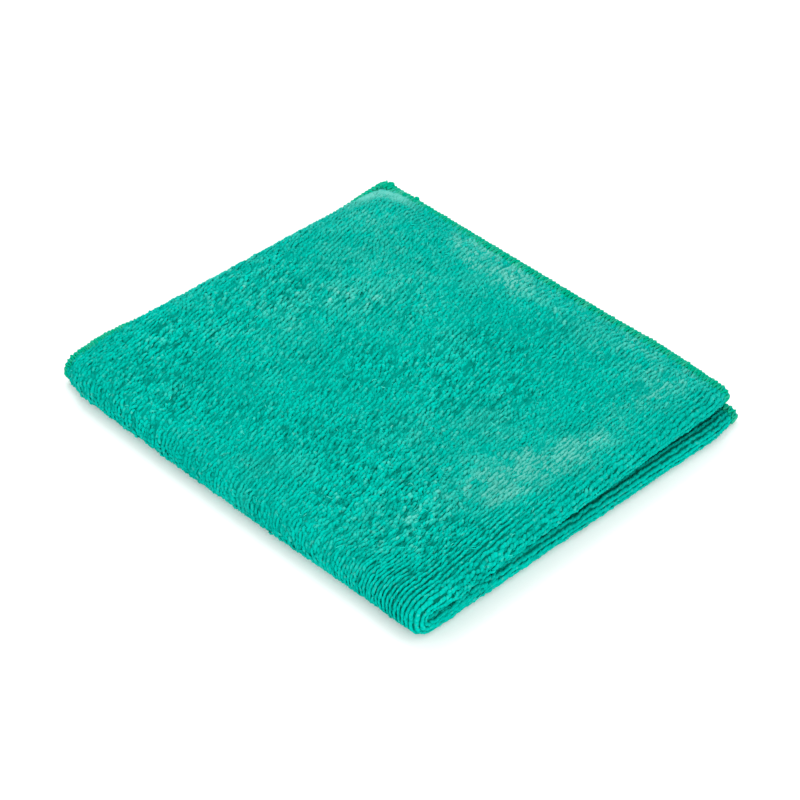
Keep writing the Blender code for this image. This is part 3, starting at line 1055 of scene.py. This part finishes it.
def loop_shades(across, along, loop, state, chance):
    """How far painted shade spares each loop's feet, how much painted shade darkens its yarn between body and
    root, and its own tone.
    """
    tangled, rough, pressed = state.tangled, state.rough, state.pressed
    # Painted shade: spared at the feet of tangled and pressed pile, laid on sunk clumps and in the gap
    # between the rolls of the side fold
    feet = np.maximum(smooth(tangled * 1.6) * (1.0 - 0.25 * rough), 0.8 * pressed)
    painted_shade = CLUMP_PAINTED_SHADE * tangled * smooth(-state.clump / 0.6 - 0.1) * (1.0 - pressed)
    painted_shade = np.maximum(painted_shade, GAP_PAINTED_SHADE * smooth((across - GAP_START) / GAP_FADE))
    # Painted shade on low loops deep in the troughs between neat ribs
    if loop is LOW_LOOP:
        painted_shade = np.maximum(painted_shade, state.neat * (0.4 + 0.6 * rough))
    light = (1.0 - DENSE_SHADE * (1.0 - rough)) * (1.0 - OWN_SHADE * chance.random(len(across)) ** 2)
    uneven = smooth(0.5 + 0.8 * soft_noise(across, along, UNEVEN_CELL, 58))
    return feet, painted_shade, light * (1.0 - UNEVEN_SHADE * uneven)


def make_pile(name, across_span, along_span, pitch, material, seed, loop=MAIN_LOOP):
    """Ribs of arched loops on the outer face, or the low loops between the ribs."""
    chance = np.random.default_rng(seed)
    across, along, slant, ends = loop_places(across_span, along_span, pitch, loop, chance)
    count = len(across)

    def scatter(spread):
        return chance.normal(0.0, spread, count)

    state = pile_state(across, along, ends)
    tangled = state.tangled
    # The tint: painted sheen on hazed and pressed pile, a painted highlight on the rim, and random paleness
    tint = state.haze * (HAZE_SHEEN_TINT + scatter(VARY_HAZE)) + tangled * (scatter(VARY_TINT) + TANGLED_TINT)
    tint = tint + PRESSED_SHEEN_TINT * state.pressed + RIM_HIGHLIGHT_TINT_PILE * state.rim
    tuft_across = tangled * TUFT_LEAN * soft_noise(across, along, TUFT_CELL, 41)
    tuft_along = tangled * TUFT_LEAN * soft_noise(across, along, TUFT_CELL, 42)
    along = along + scatter(VARY_ALONG) * pitch
    across = across + scatter(VARY_ACROSS) + tangled * scatter(VARY_ACROSS_TANGLED) + 0.5 * tuft_across
    span, slant = loop_spans(along, slant, pitch, loop, state, scatter)
    lean_across = tuft_across + tangled * scatter(VARY_LEAN)
    lean_along = NEAT_AHEAD + tuft_along + tangled * scatter(VARY_LEAN)
    height = loop_heights(across, along, ends, loop, state, scatter, chance)
    thick = loop_thickness(across, loop, state, scatter)
    feet, painted_shade, light = loop_shades(across, along, loop, state, chance)

    # From here on a row for each loop and a column for each station along its arc
    arc = np.linspace(0.0, math.pi, loop.segments + 1)
    out = np.cos(arc)[None]
    rise = np.sin(arc)[None]
    loop_across = across[:, None] + (span * np.sin(slant))[:, None] * out + lean_across[:, None] * rise
    loop_along = along[:, None] + (span * np.cos(slant))[:, None] * out + lean_along[:, None] * rise
    # Painted shade: the yarn's colour goes towards the root at its feet, in pits and where loop_shades
    # darkens it; pits also sink the loops
    parting = smooth(state.rough / PIT_ROUGH) * smooth(tangled * 2.0) * (1.0 - state.pressed)
    pit = pits(loop_across, loop_along) * parting[:, None]
    raised = np.maximum(rise, feet[:, None]) * (1.0 - np.clip(painted_shade[:, None] + pit, 0.0, 1.0)) * light[:, None]
    # Painted highlights: bright flecks on tangled and hazed pile
    spots = spotted(loop_across, loop_along, HIGHLIGHT_SPOTS) * (tangled * (0.6 + state.haze))[:, None]
    off = LOOP_FOOT + height[:, None] * rise ** 0.6 * (1.0 - PIT_DEPTH * pit)
    off = off - (thick[:, None] - LOOP_SUNK)
    paths, up = on_cloth(loop_across, loop_along, off)
    radius = thick[:, None] * (1.0 - FOOT_THINNER + FOOT_THINNER * rise)
    points, faces, uvs = tubes(paths, up, radius, loop.sides, LOOP_FLATTER)
    values = {
        "raised": np.repeat(raised.ravel(), loop.sides),
        "flat_pile_sheen": np.repeat(state.pressed, rise.size * loop.sides),
        "tint": np.repeat(np.clip(tint[:, None] + HIGHLIGHT_SPOT_TINT * spots, 0.0, 1.0).ravel(), loop.sides),
    }
    return make_piece(name, above_surface(points), faces, material, values, uvs)


def make_loose_loops(material):
    """Fine loops of yarn that lie on the pile every way."""
    chance = np.random.default_rng(61)
    across = chance.uniform(-CLOTH_WIDTH / 2 + HEM_WIDTH, PILE_PAST_SIDE_FOLD, LOOSE_COUNT)
    along = chance.uniform(-UNDER_FROM_FRONT, CLOTH_LENGTH / 2 - HEM_WIDTH, LOOSE_COUNT)
    kept = chance.random(LOOSE_COUNT) > neatness(across, along) * LOOSE_LESS_NEAT
    kept = kept & (pile_ends(across, along) > LOOSE_FROM_END)
    across, along = across[kept], along[kept]
    count = len(across)
    heading = chance.uniform(0.0, math.pi, count)
    half = chance.uniform(*LOOSE_LENGTH, count)[:, None] / 2
    bend = chance.normal(0.0, LOOSE_BEND, count)[:, None]
    rise = chance.uniform(-LOOSE_RISE, LOOSE_RISE, count)[:, None]
    share = np.linspace(-1.0, 1.0, 5)[None]
    middle = 1.0 - share * share
    cosine, sine = np.cos(heading)[:, None], np.sin(heading)[:, None]
    loop_across = across[:, None] + cosine * half * share - sine * bend * middle
    loop_along = along[:, None] + sine * half * share + cosine * bend * middle
    off = LOOSE_OFF - LOOSE_DIP + (LOOSE_DIP + rise) * middle
    paths, up = on_cloth(loop_across, loop_along, off)
    radius = chance.uniform(*LOOSE_RADIUS, count)[:, None] * (0.6 + 0.4 * middle)
    points, faces, uvs = tubes(paths, up, radius, 3)
    each = share.size * 3
    values = {
        "raised": np.ones(len(points)),
        "flat_pile_sheen": np.zeros(len(points)),
        "tint": np.repeat(chance.uniform(0.0, LOOSE_TINT, count), each),
    }
    return make_piece("loose_loops", above_surface(points), faces, material, values, uvs)


def make_all_pile(material):
    """The outer pile, on top in three pieces, over the rolls and beneath."""
    left, right = -CLOTH_WIDTH / 2, PILE_PAST_SIDE_FOLD
    top = (-UNDER_FROM_FRONT, CLOTH_LENGTH / 2)
    beneath = (-CLOTH_LENGTH / 2, -UNDER_FROM_FRONT)
    first, second = TOP_SPLITS
    return [
        make_pile("pile_top_left", (left, first), top, LOOP_PITCH, material, 11),
        make_pile("pile_top_middle", (first, second), top, LOOP_PITCH, material, 12),
        make_pile("pile_top_right", (second, right), top, LOOP_PITCH, material, 13),
        make_pile("pile_lower_roll", (-UNDER_FROM_SIDE, right), beneath, LOOP_PITCH, material, 14),
        make_pile("pile_between", (left, right), top, LOOP_PITCH, material, 16, LOW_LOOP),
        make_loose_loops(material),
        make_pile(
            "pile_underside", (left, -UNDER_FROM_SIDE), beneath, LOOP_PITCH_UNDER, material, 15, UNDER_LOOP
        ),
    ]


# ---------------------------------------------------------------- the overlock


def edge_place(edge, run, inside):
    """across and along of places by a cut edge: left, right, front or back of the flat cloth."""
    if edge in ("left", "right"):
        side = -1.0 if edge == "left" else 1.0
        return side * (CLOTH_WIDTH / 2 - inside), run
    side = -1.0 if edge == "front" else 1.0
    return run, side * (CLOTH_LENGTH / 2 - inside)


def stitch_starts(edge):
    """Where the stitches of an edge start, along it."""
    length = CLOTH_LENGTH if edge in ("left", "right") else CLOTH_WIDTH
    count = int((length - 2 * EDGE_OUT) / STITCH_PITCH)
    return (np.arange(count) - count / 2) * STITCH_PITCH


def overlock_paths(edge, chance):
    """The legs of one edge's zigzag, on both faces: where they run, how far inside and how far off."""
    starts = stitch_starts(edge)
    share = np.linspace(0.0, 1.0, 5)[None]
    wobble = chance.normal(0.0, 0.00012, (len(starts), 1))
    face_height = HEM_GROUND_THICKNESS / 2 + OVERLOCK_RADIUS * 0.6
    inside = NEEDLE_LINE + wobble - (NEEDLE_LINE + EDGE_OUT) * share
    fall = np.sqrt(np.maximum(1.0 - share ** 5, 0.0))
    legs = []
    for face in (1.0, -1.0):
        for start in (0.0, 1.0):
            run = starts[:, None] + (start + (0.5 - start) * share) * STITCH_PITCH
            legs.append((run, inside, face * face_height * fall + 0.0 * run))
    return legs


def rounded(share):
    """1 in the middle of a bead or knot, less towards its ends, by the way along it from 0 to 1."""
    return np.sqrt(np.maximum(1.0 - (share * 1.8 - 0.9) ** 2, 0.0))


def hidden(across, along):
    """How much lower thread lies for the pile that covers it."""
    return UNDER_PILE * smooth(pile_ends(across, along) / UNDER_PILE)


Thread = namedtuple("Thread", "points faces uvs tint raised")


def spun(paths, up, radius, sides, tint, raised):
    """Tubes of thread. tint and the painted shade share are a number for each path, or one for all."""
    each = paths.shape[1] * sides
    per_path = [np.repeat(np.broadcast_to(number, len(paths)), each) for number in (tint, raised)]
    return Thread(*tubes(paths, up, radius, sides), *per_path)


def thread_end(lump):
    """A path and its radii round a knot or a loose end of thread that stands out past the edge."""
    share = np.linspace(0.0, 1.0, 6)[None]
    run = lump.run + (share - 0.5) * lump.length
    out = lump.out * np.sin(share * math.pi) if lump.knot else lump.out * share
    across, along = edge_place("back", run, -EDGE_OUT - out)
    paths, up = on_cloth(across, along, lump.off + 0.0 * share)
    girth = rounded(share) if lump.knot else 1.0 - 0.6 * share
    return paths, up, lump.radius * girth


def sew_edge(edge, chance):
    """The threads of one edge: a zigzag on both faces, beads on the edge and a line of stitches."""
    threads = []
    for run, inside, off in overlock_paths(edge, chance):
        across, along = edge_place(edge, run, inside)
        paths, up = on_cloth(across, along, off - hidden(across, along) * (off > 0.0))
        count = len(run)
        radius = np.full(run.shape, OVERLOCK_RADIUS) * chance.normal(1.0, 0.08, (count, 1))
        tint = chance.normal(0.05, 0.20, count)
        threads.append(spun(paths, up, radius, 3, tint, chance.uniform(0.85, 1.0, count)))
    starts = stitch_starts(edge)[:, None]
    share = np.linspace(0.0, 1.0, 4)[None]
    run = starts + (0.18 + 0.64 * share) * STITCH_PITCH
    across, along = edge_place(edge, run, np.full(run.shape, -EDGE_OUT))
    paths, up = on_cloth(across, along, np.zeros(run.shape))
    radius = EDGE_BEAD_RADIUS * rounded(share) + 0.0 * run
    # The edge beads are darker: painted shade, as they face sideways and down
    threads.append(spun(paths, up, radius, 5, 0.0, chance.uniform(0.2, 0.6, len(run))))
    run = starts + (0.05 + 0.90 * share) * STITCH_PITCH
    across, along = edge_place(edge, run, NEEDLE_LINE + EDGE_OUT + 0.0 * run)
    height = HEM_GROUND_THICKNESS / 2 + NEEDLE_THREAD_OFF + NEEDLE_THREAD_RISE * np.sin(share * math.pi)
    paths, up = on_cloth(across, along, height - hidden(across, along))
    threads.append(spun(paths, up, np.full(run.shape, NEEDLE_THREAD_RADIUS), 3, 0.0, 0.8))
    return threads


def make_overlock(material):
    """The sewing of all four cut edges, with its knots and loose end."""
    chance = np.random.default_rng(21)
    threads = []
    for edge in ("left", "right", "front", "back"):
        threads.extend(sew_edge(edge, chance))
    for lump in LUMPS:
        threads.append(spun(*thread_end(lump), 6, lump.tint, 0.7 + 0.3 * lump.tint))
    firsts = np.cumsum([0] + [len(thread.points) for thread in threads[:-1]])
    points = np.concatenate([thread.points for thread in threads])
    faces = np.concatenate([thread.faces + first for thread, first in zip(threads, firsts)])
    columns = math.ceil(math.sqrt(len(threads)))
    uvs = np.concatenate([
        (thread.uvs + (number % columns, number // columns)) / columns
        for number, thread in enumerate(threads)
    ])
    values = {
        "raised": np.concatenate([thread.raised for thread in threads]),
        "flat_pile_sheen": np.zeros(len(points)),
        "tint": np.concatenate([thread.tint for thread in threads]),
    }
    return make_piece("overlock", above_surface(points), faces, material, values, uvs)


# ---------------------------------------------------------------- the stage


def look_at(item, place, target):
    """Places an object and turns it to face a point."""
    item.location = place
    item.rotation_mode = "QUATERNION"
    item.rotation_quaternion = (Vector(target) - Vector(place)).to_track_quat("-Z", "Y")


def make_camera():
    """The camera at the photograph's angle."""
    camera = bpy.data.objects.new("camera", bpy.data.cameras.new("camera"))
    bpy.context.scene.collection.objects.link(camera)
    camera.data.lens = VIEW_LENS
    camera.data.sensor_width = 36.0
    camera.data.clip_start = 0.01
    camera.data.clip_end = 20.0
    back = Vector((
        math.sin(VIEW_AZIMUTH) * math.cos(VIEW_ELEVATION),
        -math.cos(VIEW_AZIMUTH) * math.cos(VIEW_ELEVATION),
        math.sin(VIEW_ELEVATION),
    ))
    target = Vector(VIEW_TARGET)
    look_at(camera, target + back * VIEW_DISTANCE, target)
    bpy.context.scene.camera = camera


def make_light(name, place, power):
    """A large square lamp that faces the cloth."""
    light = bpy.data.lights.new(name, "AREA")
    light.shape = "SQUARE"
    light.size = LAMP_SIZE
    light.energy = power
    lamp = bpy.data.objects.new(name, light)
    bpy.context.scene.collection.objects.link(lamp)
    look_at(lamp, place, (0.0, 0.0, 0.0))


def make_studio(material):
    """A plain pale floor under soft light from all round and two large lamps."""
    mesh = bpy.data.meshes.new("floor")
    corners = [(x, y, 0.0) for x, y in ((-1, -1), (1, -1), (1, 1), (-1, 1))]
    mesh.from_pydata([Vector(corner) * FLOOR_REACH for corner in corners], [], [(0, 1, 2, 3)])
    mesh.materials.append(material)
    floor = bpy.data.objects.new("floor", mesh)
    bpy.context.scene.collection.objects.link(floor)
    make_light("key_light", KEY_PLACE, KEY_POWER)
    make_light("fill_light", FILL_PLACE, FILL_POWER)
    world = bpy.data.worlds.new("studio")
    world.use_nodes = True
    sky = world.node_tree.nodes["Background"]
    sky.inputs["Color"].default_value = (1.0, 1.0, 1.0, 1.0)
    sky.inputs["Strength"].default_value = SKY_STRENGTH
    bpy.context.scene.world = world
    bpy.context.scene.view_settings.view_transform = "Standard"
    bpy.context.scene.view_settings.look = "None"


def main():
    """Makes every piece, hides the imported cloth that they replace, and makes the studio and the camera."""
    materials = make_materials()
    ground = make_ground(materials["ground"])
    pile = make_all_pile(materials["pile"])
    overlock = make_overlock(materials["overlock"])
    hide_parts("cloth")
    make_studio(materials["floor"])
    make_camera()


main()
